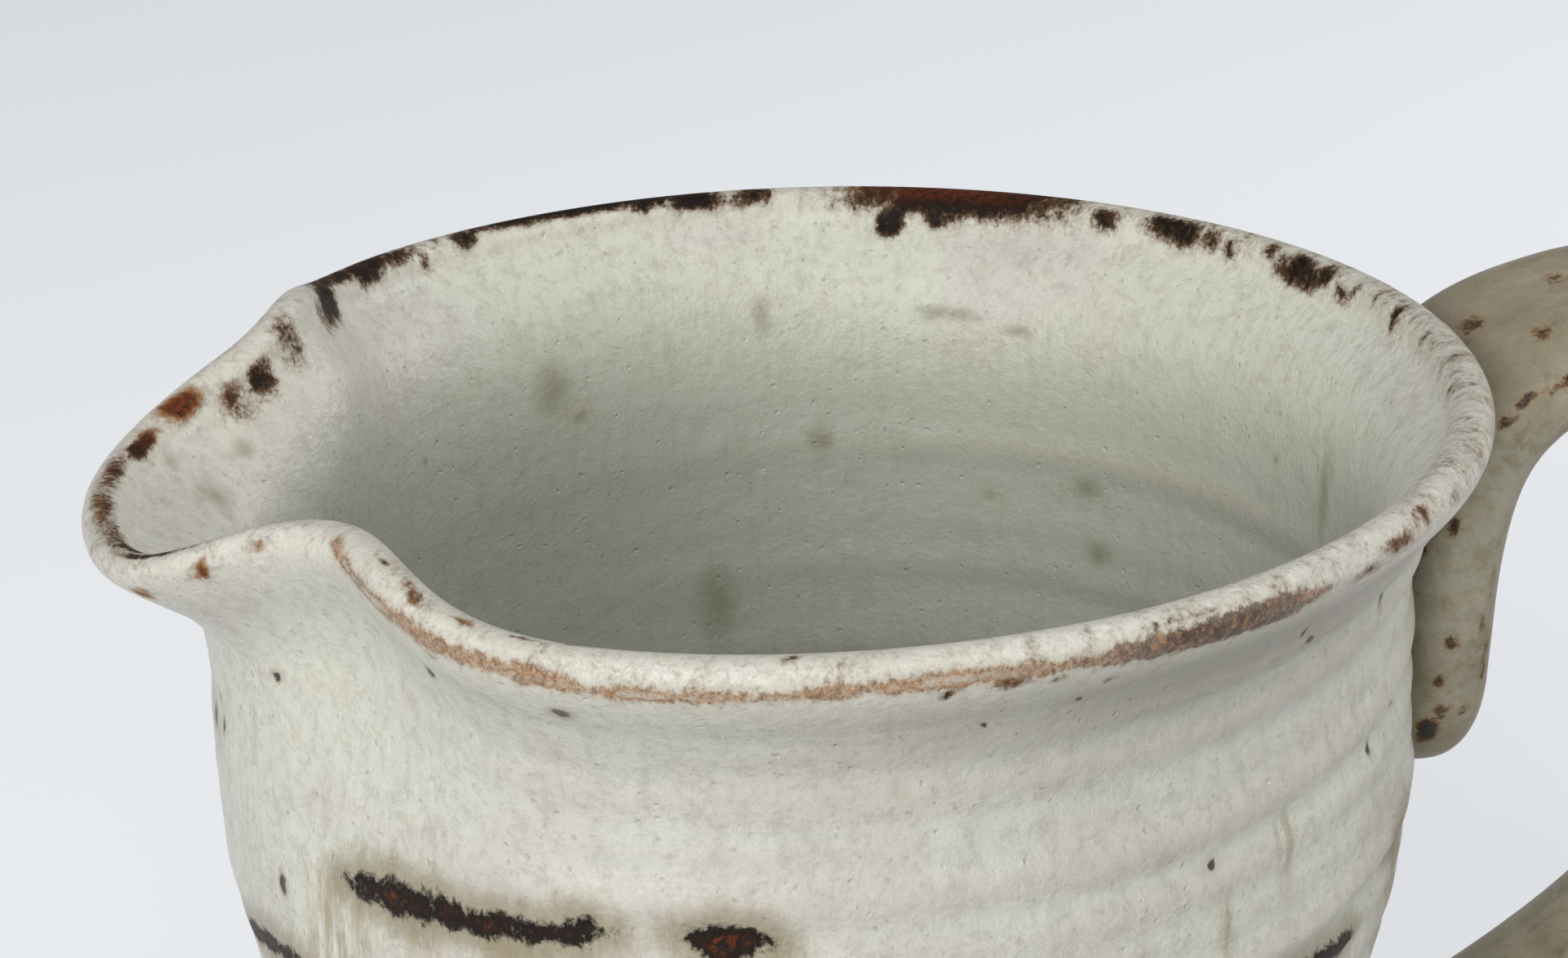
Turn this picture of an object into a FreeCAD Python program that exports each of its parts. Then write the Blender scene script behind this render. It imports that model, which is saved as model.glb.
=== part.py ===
import FreeCAD, Part
import math
import os

import Sketcher
from FreeCAD import Placement, Vector

# Stoneware gravy boat: a round wheel-thrown vessel whose rim is pinched and pulled into a
# pouring lip, with a pulled strap handle luted on opposite the lip.
#
# Frame: origin at the centre of the foot ring, on the surface the vessel stands on.
# +Z is up, -X points along the pouring lip, +X along the handle.  Millimetres.

DRIVING_SIZES = [
    ("rim_height", 102.0, "foot to the crest of the plain rim"),
    ("body_radius", 55.8, "outside of the upright wall"),
    ("lip_flare", 6.7, "how far the rim stands out from the wall"),
    ("lip_round", 2.1, "radius of the rolled edge of the rim"),
    ("neck_drop", 18.0, "rim crest down to where the flare starts"),
    ("wall_thickness", 4.2, "wall below the rim"),
    ("heel_thickness", 5.6, "wall where it meets the floor"),
    ("floor_thickness", 6.5, "floor above the foot recess"),
    ("floor_flat_radius", 18.0, "flat middle of the floor"),
    ("floor_curve_height", 17.0, "height of the curve from floor to wall"),
    ("foot_radius", 39.5, "outside of the turned foot ring"),
    ("foot_ring_width", 6.0, "wall of the foot ring"),
    ("foot_rise", 5.0, "depth of the recess inside the foot ring"),
    ("foot_shoulder", 1.5, "step from the foot ring out to the wall"),
    ("foot_round", 0.8, "rounding of the foot ring's edges"),
    ("lip_draw", 3.2, "how far the pouring lip is drawn out"),
    ("lip_drop", 5.1, "how far the pouring lip is bent down"),
    ("lip_half_angle", 20.0, "half the angle that the pouring lip takes, degrees"),
    ("pinch_depth", 6.7, "how far each flank of the lip is pushed in"),
    ("pinch_angle", 33.0, "each pinch from the middle of the lip, degrees"),
    ("pinch_spread", 14.0, "half the angle of one pinch, degrees"),
    ("pinch_reach", 24.0, "how far down the wall a pinch fades"),
    ("shoulder_rise", 3.0, "rim pushed up beside the lip"),
    ("shoulder_angle", 36.0, "raised rim from the middle of the lip, degrees"),
    ("shoulder_spread", 12.0, "half the angle of the raised rim, degrees"),
    ("slip_thickness", 0.4, "dried slip between the handle and the wall"),
    ("strap_root_width", 28.6, "strap at the upper joint"),
    ("strap_root_thickness", 11.6, "strap at the upper joint"),
    ("strap_grip_width", 23.0, "strap from the crown to the lower joint"),
    ("strap_grip_thickness", 8.8, "strap from the crown to the lower joint"),
    ("tail_drop", 45.0, "rim crest down to the rounded end of the strap"),
    ("handle_reach", 41.0, "middle of the strap out from the rim at its widest"),
    ("crown_drop", 1.0, "rim crest down to the middle of the strap at the crown"),
    ("root_height", 17.0, "middle of the strap at the lower joint"),
]


def make_sheet(document):
    sheet = document.addObject("Spreadsheet::Sheet", "Sizes")
    for row, (alias, value, meaning) in enumerate(DRIVING_SIZES, start=1):
        sheet.set(f"A{row}", alias)
        sheet.set(f"B{row}", str(value))
        sheet.set(f"C{row}", meaning)
        sheet.setAlias(f"B{row}", alias)
    document.recompute()
    return sheet


document = FreeCAD.newDocument("gravy_boat")
sheet = make_sheet(document)


def size(alias):
    return float(sheet.get(alias))


RIM_RADIUS = size("body_radius") + size("lip_flare")
LIP_CENTRE_RADIUS = RIM_RADIUS - size("lip_round")
LIP_CENTRE_HEIGHT = size("rim_height") - size("lip_round")
NECK_HEIGHT = size("rim_height") - size("neck_drop")
FLOOR_HEIGHT = size("foot_rise") + size("floor_thickness")


# ---------------------------------------------------------------- round profile

# Outer wall from the foot to the neck: share of the height from foot to neck, and share of
# the way out from the foot ring to the upright wall.
WALL_SHARES = [(0.06, 0.19), (0.15, 0.38), (0.29, 0.59), (0.42, 0.735), (0.52, 0.80),
               (0.62, 0.90), (0.72, 0.985), (0.85, 1.0), (1.0, 0.988)]
# Flare from the neck to the rim: share of the drop, and share of the flare.
FLARE_SHARES = [(0.34, 0.08), (0.65, 0.50), (0.87, 0.88)]
LIP_STEPS = 6
FLOOR_STEPS = 4


def outer_profile():
    """Points (radius, height) up the outside, from the foot to the rim's widest circle."""
    foot = size("foot_radius")
    out = size("body_radius") - foot
    rise = NECK_HEIGHT - size("foot_rise")
    points = [(foot + size("foot_shoulder"), size("foot_rise"))]
    for height_share, radius_share in WALL_SHARES:
        points.append((foot + out * radius_share, size("foot_rise") + rise * height_share))
    drop = LIP_CENTRE_HEIGHT - NECK_HEIGHT
    for height_share, radius_share in FLARE_SHARES:
        radius = size("body_radius") + size("lip_flare") * radius_share
        points.append((radius, NECK_HEIGHT + drop * height_share))
    points.append((RIM_RADIUS, LIP_CENTRE_HEIGHT))
    return points


def lip_profile(first_degrees=0.0, last_degrees=180.0, grow=0.0):
    """Points round the rolled edge, from its outer side over the crest to its inner side."""
    points = []
    for step in range(1, LIP_STEPS):
        angle = math.radians(first_degrees + (last_degrees - first_degrees) * step / LIP_STEPS)
        radius = LIP_CENTRE_RADIUS + (size("lip_round") + grow) * math.cos(angle)
        points.append((radius, LIP_CENTRE_HEIGHT + (size("lip_round") + grow) * math.sin(angle)))
    return points


def outward_normals(points):
    """Unit normals of a profile that runs upwards, pointing away from the axis."""
    normals = []
    for index in range(len(points)):
        before = points[max(index - 1, 0)]
        after = points[min(index + 1, len(points) - 1)]
        run = (after[0] - before[0], after[1] - before[1])
        length = math.hypot(*run)
        normals.append((run[1] / length, -run[0] / length))
    return normals


def inner_profile():
    """Points down the inside, from the rim's inner side to the flat middle of the floor."""
    outer = outer_profile()[:-1]
    floor_top = FLOOR_HEIGHT + size("floor_curve_height")
    lip_inside = (RIM_RADIUS - 2.0 * size("lip_round"), LIP_CENTRE_HEIGHT)
    points = []
    for (radius, height), (out, up) in zip(outer, outward_normals(outer)):
        down_the_wall = min(max((NECK_HEIGHT - height) / (NECK_HEIGHT - FLOOR_HEIGHT), 0.0), 1.0)
        extra = size("heel_thickness") - size("wall_thickness")
        wall = size("wall_thickness") + extra * down_the_wall
        inner = (radius - out * wall, height - up * wall)
        if floor_top < inner[1] < LIP_CENTRE_HEIGHT - size("lip_round"):
            points.append(inner)
    points.append(lip_inside)
    points.reverse()
    wall_foot = points[-1]
    across = wall_foot[0] - size("floor_flat_radius")
    fall = wall_foot[1] - FLOOR_HEIGHT
    for step in range(1, FLOOR_STEPS + 1):
        angle = math.radians(90.0 * step / FLOOR_STEPS)
        radius = size("floor_flat_radius") + across * math.cos(angle)
        points.append((radius, FLOOR_HEIGHT + fall * (1.0 - math.sin(angle))))
    return points


# ---------------------------------------------------------------- pouring lip

RING_POINTS = 72
# Depth below the rim over which the lip's drawing out and its bending down fade away.
DRAW_FADE = 6.6
DROP_FADE = 14.0
# Spreads from its middle beyond which a bell no longer moves the clay at all.
FADED_OUT = 3.4


def bell(offset, spread, power=2):
    """A smooth bump that is 1 in its middle and fades away over about one spread."""
    share = abs(offset / spread)
    if share > FADED_OUT:
        return 0.0
    return math.exp(-share ** power)


def pulled_point(degrees, radius, height):
    """A point of the round vessel, moved as the fingers move it when the lip is pulled."""
    from_lip = abs((degrees + 360.0) % 360.0 - 180.0)
    depth = max(size("rim_height") - height, 0.0)
    draw = size("lip_draw") * bell(from_lip, size("lip_half_angle"), 4) * bell(depth, DRAW_FADE)
    pinch = size("pinch_depth") * bell(from_lip - size("pinch_angle"), size("pinch_spread"))
    pinch *= bell(depth, size("pinch_reach"))
    drop = size("lip_drop") * bell(from_lip, size("lip_half_angle"), 4) * bell(depth, DROP_FADE)
    rise = size("shoulder_rise") * bell(from_lip - size("shoulder_angle"), size("shoulder_spread"))
    rise *= bell(depth, size("pinch_reach"))
    angle = math.radians(degrees)
    reach = radius + draw - pinch
    return Vector(reach * math.cos(angle), reach * math.sin(angle), height - drop + rise)


def wall_ring(radius, height):
    """One ring of the wall, which starts in the middle of the lip."""
    turns = [180.0 + 360.0 * step / RING_POINTS for step in range(RING_POINTS)]
    return [pulled_point(degrees, radius, height) for degrees in turns]


def chord_shares(points):
    """How far along a profile each of its points lies, as a share of the whole length."""
    lengths = [0.0]
    for before, after in zip(points, points[1:]):
        lengths.append(lengths[-1] + math.dist(before, after))
    return [length / lengths[-1] for length in lengths]


def closed_skin(rings, along):
    """A solid with one smooth skin through closed rings of points and a flat face at each end.

    along gives each ring's place on the way from the first ring to the last.
    """
    count = len(rings[0])
    around = [step / count for step in range(count + 1)]
    ring_poles = []
    for ring in rings:
        turn = Part.BSplineCurve()
        turn.interpolate(Points=ring, PeriodicFlag=True, Parameters=around)
        ring_poles.append(turn.getPoles())
    poles = []
    for column in zip(*ring_poles):
        rise = Part.BSplineCurve()
        rise.interpolate(Points=list(column), Parameters=along)
        poles.append(rise.getPoles())
    surface = Part.BSplineSurface()
    surface.buildFromPolesMultsKnots(poles, turn.getMultiplicities(), rise.getMultiplicities(),
                                     turn.getKnots(), rise.getKnots(), True, False, 3, 3)
    side = surface.toShape()
    caps = [Part.Face(Part.Wire([edge])) for edge in side.Edges if edge.isClosed()]
    shell = Part.makeShell([side] + caps)
    shell.sewShape()
    return Part.makeSolid(shell)


def wall_solid():
    """The thrown wall, floor and pouring lip, without the foot ring."""
    profile = outer_profile() + lip_profile() + inner_profile()
    rings = [wall_ring(radius, height) for radius, height in profile]
    return closed_skin(rings, chord_shares(profile))


def envelope_solid(grow):
    """The round vessel without its lip, filled in and grown outwards by a distance."""
    outer = outer_profile()
    grown = []
    for (radius, height), (out, up) in zip(outer[:-1], outward_normals(outer)):
        grown.append((radius + out * grow, height + up * grow))
    grown.append((RIM_RADIUS + grow, LIP_CENTRE_HEIGHT))
    grown += lip_profile(0.0, 90.0, grow)
    grown.append((LIP_CENTRE_RADIUS, size("rim_height") + grow))
    points = [Vector(-radius, 0.0, height) for radius, height in grown]
    side = Part.BSplineCurve()
    side.interpolate(Points=points, Parameters=chord_shares(grown))
    top = Vector(0.0, 0.0, points[-1].z)
    bottom = Vector(0.0, 0.0, points[0].z)
    edges = [side.toShape(), Part.makeLine(points[-1], top), Part.makeLine(top, bottom),
             Part.makeLine(bottom, points[0])]
    face = Part.Face(Part.Wire(edges))
    return face.revolve(Vector(0, 0, 0), Vector(0, 0, 1), 360.0)


def put_shape(name, shape):
    """A document object that holds a shape made from the sheet's values."""
    feature = document.addObject("Part::Feature", name)
    feature.Shape = shape
    feature.Placement = Placement()
    return feature


# ---------------------------------------------------------------- foot ring

# How far the ring's top is sunk into the wall, so that the two share clay.
FOOT_EMBED = 1.0
# An edge whose highest point is below this lies on the surface the ring stands on.
RESTING = 1e-6


def origin_plane(body, role):
    return next(item for item in body.Origin.OriginFeatures if item.Role == role)


def make_foot_ring():
    """The turned foot ring: a four-sided section revolved, its two resting edges rounded."""
    body = document.addObject("PartDesign::Body", "foot_ring")
    sketch = body.newObject("Sketcher::SketchObject", "foot_section")
    sketch.AttachmentSupport = [(origin_plane(body, "XZ_Plane"), "")]
    sketch.MapMode = "FlatFace"
    inner = size("foot_radius") - size("foot_ring_width")
    outer = size("foot_radius")
    top = size("foot_rise") + FOOT_EMBED
    corners = [(inner, 0.0), (outer, 0.0), (outer, top), (inner, top)]
    for index in range(4):
        start = Vector(*corners[index], 0.0)
        end = Vector(*corners[(index + 1) % 4], 0.0)
        sketch.addGeometry(Part.LineSegment(start, end), False)
    for index in range(4):
        sketch.addConstraint(Sketcher.Constraint("Coincident", index, 2, (index + 1) % 4, 1))
    for index in (0, 2):
        sketch.addConstraint(Sketcher.Constraint("Horizontal", index))
    for index in (1, 3):
        sketch.addConstraint(Sketcher.Constraint("Vertical", index))
    named = [
        ("outer_radius", Sketcher.Constraint("DistanceX", -1, 1, 0, 2, outer), "Sizes.foot_radius"),
        ("ring_width", Sketcher.Constraint("DistanceX", 0, 1, 0, 2, outer - inner),
         "Sizes.foot_ring_width"),
        ("ring_height", Sketcher.Constraint("DistanceY", 1, 1, 1, 2, top),
         f"Sizes.foot_rise + {FOOT_EMBED}"),
    ]
    sketch.addConstraint(Sketcher.Constraint("PointOnObject", 0, 1, -1))
    for name, constraint, expression in named:
        index = sketch.addConstraint(constraint)
        sketch.renameConstraint(index, name)
        sketch.setExpression(f"Constraints.{name}", expression)
    ring = body.newObject("PartDesign::Revolution", "foot_turned")
    ring.Profile = sketch
    ring.ReferenceAxis = (sketch, ["V_Axis"])
    ring.Angle = 360.0
    document.recompute()
    edges = []
    for index, edge in enumerate(ring.Shape.Edges, start=1):
        if edge.BoundBox.ZMax < RESTING:
            edges.append(f"Edge{index}")
    rounding = body.newObject("PartDesign::Fillet", "foot_rounding")
    rounding.Base = (ring, edges)
    rounding.setExpression("Radius", "Sizes.foot_round")
    body.Tip = rounding
    return body


# ---------------------------------------------------------------- handle

# The line of the strap's middle, from its rounded end on the wall, up under the rim, over
# the crown and down to the lower joint.  The ear is given as shares of the handle's reach
# beyond the rim and of the height from the lower joint to the crown.
EAR_SHARES = [(0.52, 1.0), (0.94, 0.973), (1.085, 0.70), (0.99, 0.40), (0.57, 0.19), (0.11, 0.042)]
# The tail is given by how far the strap's middle stands off the upright wall, and by its
# rise above the rounded end.
TAIL_POLES = [(3.8, 0.0), (4.0, 9.0), (2.9, 25.0)]
# The pole that carries the strap over the rim: out from the rim, and below its crest.
RIM_POLE_OUT = 2.0
RIM_POLE_DROP = 5.7
# The lower joint: how deep the line ends in the wall, and the level stretch before that.
ROOT_SINK = 2.7
ROOT_STRAIGHT = 9.0

# Stations along the strap: share of its line, how much of the section is still the root's
# (the rest is the grip's), and how much of that width and thickness the section has.
STATIONS = [(0.0, 1.0, 0.36, 0.50), (0.018, 1.0, 0.66, 0.78), (0.045, 1.0, 0.86, 0.92),
            (0.085, 1.0, 1.0, 1.0), (0.15, 1.0, 1.0, 1.0), (0.22, 1.0, 1.0, 1.0),
            (0.29, 0.75, 1.0, 1.0), (0.36, 0.4, 1.0, 1.0), (0.43, 0.15, 1.0, 1.0),
            (0.50, 0.0, 1.0, 1.0), (0.58, 0.0, 1.0, 1.0), (0.66, 0.0, 1.0, 1.0),
            (0.74, 0.0, 1.0, 1.0), (0.82, 0.0, 1.0, 1.0), (0.91, 0.0, 1.0, 1.0),
            (1.0, 0.0, 1.0, 1.0)]
SECTION_POINTS = 32
# Power of the section's oval: 2 is an ellipse, and more has flatter faces.
SQUARENESS = 2.4


def outer_radius(height):
    """Radius of the outside of the wall at a height above the foot."""
    points = outer_profile()
    for (low_radius, low), (high_radius, high) in zip(points, points[1:]):
        if low <= height <= high:
            share = (height - low) / (high - low)
            return low_radius + (high_radius - low_radius) * share
    raise ValueError(f"the wall has no point at a height of {height} mm")


def strap_line():
    """The line of the strap's middle, in the plane of symmetry."""
    tail_height = size("rim_height") - size("tail_drop")
    crown_height = size("rim_height") - size("crown_drop")
    ear_height = crown_height - size("root_height")
    poles = [Vector(size("body_radius") + out, 0.0, tail_height + rise) for out, rise in TAIL_POLES]
    poles.append(Vector(RIM_RADIUS + RIM_POLE_OUT, 0.0, size("rim_height") - RIM_POLE_DROP))
    for out_share, up_share in EAR_SHARES:
        radius = RIM_RADIUS + size("handle_reach") * out_share
        poles.append(Vector(radius, 0.0, size("root_height") + ear_height * up_share))
    root_radius = outer_radius(size("root_height")) - ROOT_SINK
    poles.append(Vector(root_radius + ROOT_STRAIGHT, 0.0, size("root_height")))
    poles.append(Vector(root_radius, 0.0, size("root_height")))
    line = Part.BSplineCurve()
    line.buildFromPoles(poles, False, 3)
    return line


def flattened(value):
    """A sine or cosine, pushed outwards so that an oval becomes a soft-cornered strap."""
    return math.copysign(abs(value) ** (2.0 / SQUARENESS), value)


def strap_section(middle, along, half_width, half_depth):
    """A soft-cornered oval, square to the strap's line, which starts on its outer side."""
    across = Vector(0.0, 1.0, 0.0)
    through = across.cross(along)
    points = []
    for step in range(SECTION_POINTS):
        angle = 2.0 * math.pi * step / SECTION_POINTS
        sideways = across * (half_width * flattened(math.sin(angle)))
        points.append(middle + through * (half_depth * flattened(math.cos(angle))) + sideways)
    return points


def strap_solid():
    """The pulled strap, from its rounded end on the wall round to the lower joint."""
    line = strap_line()
    sections = []
    for share, root_share, width_share, depth_share in STATIONS:
        at = line.FirstParameter + (line.LastParameter - line.FirstParameter) * share
        width = size("strap_grip_width") * (1.0 - root_share)
        width += size("strap_root_width") * root_share
        depth = size("strap_grip_thickness") * (1.0 - root_share)
        depth += size("strap_root_thickness") * root_share
        sections.append(strap_section(line.value(at), line.tangent(at)[0],
                                      0.5 * width * width_share, 0.5 * depth * depth_share))
    return closed_skin(sections, [station[0] for station in STATIONS])


# ---------------------------------------------------------------- assembly

# The height between the two joints, and a length that reaches beyond the handle.
BETWEEN_JOINTS = "(Sizes.root_height + Sizes.rim_height - Sizes.tail_drop) / 2"
BLOCK_SIDE = "2 * (Sizes.body_radius + Sizes.handle_reach)"


def make_boolean(kind, name, base, tool):
    """A Part boolean of two document objects."""
    feature = document.addObject(f"Part::{kind}", name)
    feature.Base = base
    feature.Tool = tool
    return feature


def make_joint_space(name, low_height, high_height):
    """A block on the handle's side, between two heights, that holds all of one joint."""
    box = document.addObject("Part::Box", name)
    box.setExpression("Length", BLOCK_SIDE)
    box.setExpression("Width", f"2 * ({BLOCK_SIDE})")
    box.setExpression("Height", f"({high_height}) - ({low_height})")
    box.setExpression("Placement.Base.y", f"-({BLOCK_SIDE})")
    box.setExpression("Placement.Base.z", low_height)
    return box


wall = put_shape("wall", wall_solid())
foot_ring = make_foot_ring()
thrown_body = make_boolean("Fuse", "thrown_body", wall, foot_ring)

strap = put_shape("strap", strap_solid())
slip_skin = put_shape("slip_skin", envelope_solid(size("slip_thickness")))
pulled_handle = make_boolean("Cut", "pulled_handle", strap, slip_skin)
strap_in_skin = make_boolean("Common", "strap_in_skin", strap, slip_skin)
slip_layer = make_boolean("Cut", "slip_layer", strap_in_skin, wall)

upper_space = make_joint_space("upper_space", BETWEEN_JOINTS, BLOCK_SIDE)
lower_space = make_joint_space("lower_space", "0", BETWEEN_JOINTS)
upper_slip_joint = make_boolean("Common", "upper_slip_joint", slip_layer, upper_space)
lower_slip_joint = make_boolean("Common", "lower_slip_joint", slip_layer, lower_space)

SUB_PARTS = [thrown_body, pulled_handle, upper_slip_joint, lower_slip_joint]

document.recompute()
for item in document.Objects:
    if "Invalid" in item.State or "Error" in item.State:
        raise RuntimeError(f"{item.Label} did not compute")
for item in SUB_PARTS:
    if item.Shape.isNull() or not item.Shape.isValid() or len(item.Shape.Solids) != 1:
        raise RuntimeError(f"{item.Label} is not one sound solid")

os.makedirs("parts", exist_ok=True)
for item in SUB_PARTS:
    item.Shape.exportStep(f"parts/{item.Label}.step")
    print(item.Label, round(item.Shape.Volume, 1), item.Shape.BoundBox)
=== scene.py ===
import math

import bpy
import numpy as np
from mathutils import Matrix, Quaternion, Vector


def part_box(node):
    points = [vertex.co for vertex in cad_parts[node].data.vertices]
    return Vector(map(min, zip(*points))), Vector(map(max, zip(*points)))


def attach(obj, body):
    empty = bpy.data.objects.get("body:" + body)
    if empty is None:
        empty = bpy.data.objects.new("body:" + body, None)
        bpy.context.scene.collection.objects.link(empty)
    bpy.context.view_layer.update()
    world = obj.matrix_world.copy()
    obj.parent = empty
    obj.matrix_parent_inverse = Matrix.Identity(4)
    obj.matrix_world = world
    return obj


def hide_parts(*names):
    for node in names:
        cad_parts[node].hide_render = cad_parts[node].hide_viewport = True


# Looks of a wheel-thrown stoneware gravy boat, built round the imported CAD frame.
# The pouring lip points along -X and the handle along +X.  Shapes are worked out in
# millimetres and put into the scene in metres.

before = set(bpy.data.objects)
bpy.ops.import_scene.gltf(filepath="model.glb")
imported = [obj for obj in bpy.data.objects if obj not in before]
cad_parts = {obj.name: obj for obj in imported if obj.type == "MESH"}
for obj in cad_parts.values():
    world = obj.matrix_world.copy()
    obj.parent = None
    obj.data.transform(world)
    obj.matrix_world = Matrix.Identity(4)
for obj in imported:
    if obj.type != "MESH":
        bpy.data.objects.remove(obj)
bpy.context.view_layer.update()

MM = 0.001

# ---------------------------------------------------------------- sizes, in mm

# How far the rim rises beside the lip, stands out from the wall, and stands above the neck.
SHOULDER_RISE = 3.0
RIM_FLARE = 6.7
NECK_DROP = 18.0

BODY_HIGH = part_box("thrown_body")[1]
RIM_RADIUS = BODY_HIGH[1] / MM
RIM_HEIGHT = BODY_HIGH[2] / MM - SHOULDER_RISE
BODY_RADIUS = RIM_RADIUS - RIM_FLARE
NECK_HEIGHT = RIM_HEIGHT - NECK_DROP
LIP_ROUND = 2.1
LIP_CENTRE_RADIUS = RIM_RADIUS - LIP_ROUND
LIP_CENTRE_HEIGHT = RIM_HEIGHT - LIP_ROUND
# Wall thickness at the neck and at the floor.
WALL = 4.2
HEEL = 5.6
FLOOR_HEIGHT = 11.5
FLOOR_FLAT_RADIUS = 18.0
FLOOR_CURVE_HEIGHT = 17.0
FOOT_RADIUS = 39.5
FOOT_INNER_RADIUS = 33.5
FOOT_RISE = 5.0
FOOT_SHOULDER = 1.5
# Radii of the foot ring's edges, of the recess under the floor and of the foot's top corner.
FOOT_ROUND = 0.8
RECESS_ROUND = 1.2
FOOT_FILLET = 0.6


# ---------------------------------------------------------------- mesh tools

def bell(offset, spread, power=2):
    """A smooth bump that is 1 in its middle and fades away over about one spread."""
    return np.exp(-np.abs(offset / spread) ** power)


def fade(value, start, end):
    """0 before start, 1 after end, and smooth between them."""
    share = np.clip((value - start) / (end - start), 0.0, 1.0)
    return share * share * (3.0 - 2.0 * share)


def lengths_along(points):
    steps = np.linalg.norm(np.diff(points, axis=0), axis=1)
    return np.concatenate([[0.0], np.cumsum(steps)])


def smooth_line(points, places):
    """Points of the natural cubic curve through the given ones, at lengths along their chords."""
    points = np.array(points, float)
    at = lengths_along(points)
    gap = np.diff(at)
    count = len(points)
    system = np.eye(count)
    bends = np.zeros_like(points)
    for i in range(1, count - 1):
        system[i, i - 1:i + 2] = gap[i - 1], 2.0 * (gap[i - 1] + gap[i]), gap[i]
        bends[i] = 6.0 * ((points[i + 1] - points[i]) / gap[i]
                          - (points[i] - points[i - 1]) / gap[i - 1])
    second = np.linalg.solve(system, bends)
    piece = np.clip(np.searchsorted(at, places, side="right") - 1, 0, count - 2)
    step = gap[piece][:, None]
    right = ((places - at[piece]) / gap[piece])[:, None]
    left = 1.0 - right
    straight = left * points[piece] + right * points[piece + 1]
    curved = (left ** 3 - left) * second[piece] + (right ** 3 - right) * second[piece + 1]
    return straight + curved * step ** 2 / 6.0


def spread_places(total, fine_at, fine_reach, fine_step, plain_step):
    """Places along a line that lie closer together round one of them."""
    places = [0.0]
    while places[-1] < total:
        near = abs(places[-1] - fine_at) < fine_reach
        places.append(places[-1] + (fine_step if near else plain_step))
    return np.array(places) * (total / places[-1])


def linked(name, data):
    """A new object of the scene, with that data."""
    made = bpy.data.objects.new(name, data)
    bpy.context.scene.collection.objects.link(made)
    return made


def tube_mesh(name, rings, fields):
    """A closed mesh through rings of points, drawn together to a point at each end.

    fields gives numbers for every point, which the materials read by name.
    """
    rows, columns = rings.shape[:2]
    points = np.vstack([rings.reshape(-1, 3), [rings[0].mean(0)], [rings[-1].mean(0)]]) * MM
    row, column = np.meshgrid(np.arange(rows - 1), np.arange(columns), indexing="ij")
    beside = (column + 1) % columns
    quads = np.stack([row * columns + column, row * columns + beside,
                      (row + 1) * columns + beside, (row + 1) * columns + column], -1)
    faces = quads.reshape(-1, 4).tolist()
    first_pole, last_pole = rows * columns, rows * columns + 1
    last_row = (rows - 1) * columns
    for i in range(columns):
        after = (i + 1) % columns
        faces.append([first_pole, after, i])
        faces.append([last_pole, last_row + i, last_row + after])
    mesh = bpy.data.meshes.new(name)
    mesh.from_pydata(points.tolist(), [], faces)
    for field, values in fields.items():
        numbers = np.concatenate([values.ravel(), [values[0].mean()], [values[-1].mean()]])
        layer = mesh.attributes.new(field, "FLOAT", "POINT")
        layer.data.foreach_set("value", numbers.astype(np.float32))
    mesh.polygons.foreach_set("use_smooth", np.ones(len(mesh.polygons), dtype=bool))
    mesh.update()
    return linked(name, mesh)


def patches(turn, across, table):
    """Overlapping soft ovals: middle and half width of each, round the piece and across."""
    total = np.zeros(np.broadcast(turn, across).shape)
    for middle, half_turn, place, half_across, strength in table:
        off_turn = np.abs((turn - middle + 180.0) % 360.0 - 180.0) / half_turn
        reach = (off_turn ** 2.5 + np.abs((across - place) / half_across) ** 2.5) ** 0.4
        total = np.maximum(total, strength * bell(reach, 1.0, 3))
    return total


# ---------------------------------------------------------------- thrown body

# Points round the body, and mm from ring to ring: on the wall, and within reach of the crest.
AROUND = 400
WALL_STEP = 1.02
CREST_STEP = 0.42
CREST_REACH = 7.0
# Outer wall from the foot to the neck: share of the height, and share of the way out from
# the foot ring to the upright wall.  Then the flare: share of the drop, and of the flare.
WALL_SHARES = [(0.06, 0.19), (0.15, 0.38), (0.29, 0.59), (0.42, 0.735), (0.52, 0.80),
               (0.62, 0.90), (0.72, 0.985), (0.85, 1.0), (1.0, 0.988)]
FLARE_SHARES = [(0.34, 0.08), (0.65, 0.50), (0.87, 0.88)]

# The finger pinches beside the pouring lip: degrees from its middle, spread and depth.
NEAR_PINCH = (33.6, 14.6, 6.8)
FAR_PINCH = (32.4, 13.4, 6.6)
# The raised rim beyond each pinch: degrees from the lip's middle, spread and rise.
NEAR_SHOULDER = (36.5, 13.0, 2.95)
FAR_SHOULDER = (36.0, 8.5, 2.7)
PINCH_REACH = 24.0
# The lip between them: half its angle, how far it is drawn out and down, and how far below the
# crest each fades.
LIP_HALF_ANGLE = 20.2
LIP_DRAW = 3.2
LIP_DROP = 5.1
DRAW_FADE = 6.6
DROP_FADE = 14.0

# The groove that a finger leaves under the rim: depth all round, further depth on the near
# side, where that is deepest and its spread in degrees, how far below the crest, and its
# spread in mm.
RIM_GROOVE = 0.2
NEAR_GROOVE = 0.9
NEAR_GROOVE_PLACE = 298.0
NEAR_GROOVE_TURN = 26.0
GROOVE_BELOW_CREST = 9.6
GROOVE_SPREAD = 4.6
# Painted shade under the rim's overhang, laid as a duller grey: share all round, and the same
# places and spreads.
NECK_SHADE_ALL_ROUND = 0.25
NECK_SHADE_PLACE = 292.0
NECK_SHADE_TURN = 22.0
NECK_SHADE_BELOW_CREST = 10.4
NECK_SHADE_SPREAD = 6.2
# How far the lip's near half reaches, in degrees; its iron has blots drawn out front to back.
LIP_ZONE_TURN = 30.0

# How uneven the wall is at the rim, in mm: out of round, five-sided, and high and low.
OUT_OF_ROUND = 0.1
FIVE_SIDED = 0.06
RIM_DIP = 0.1

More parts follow.
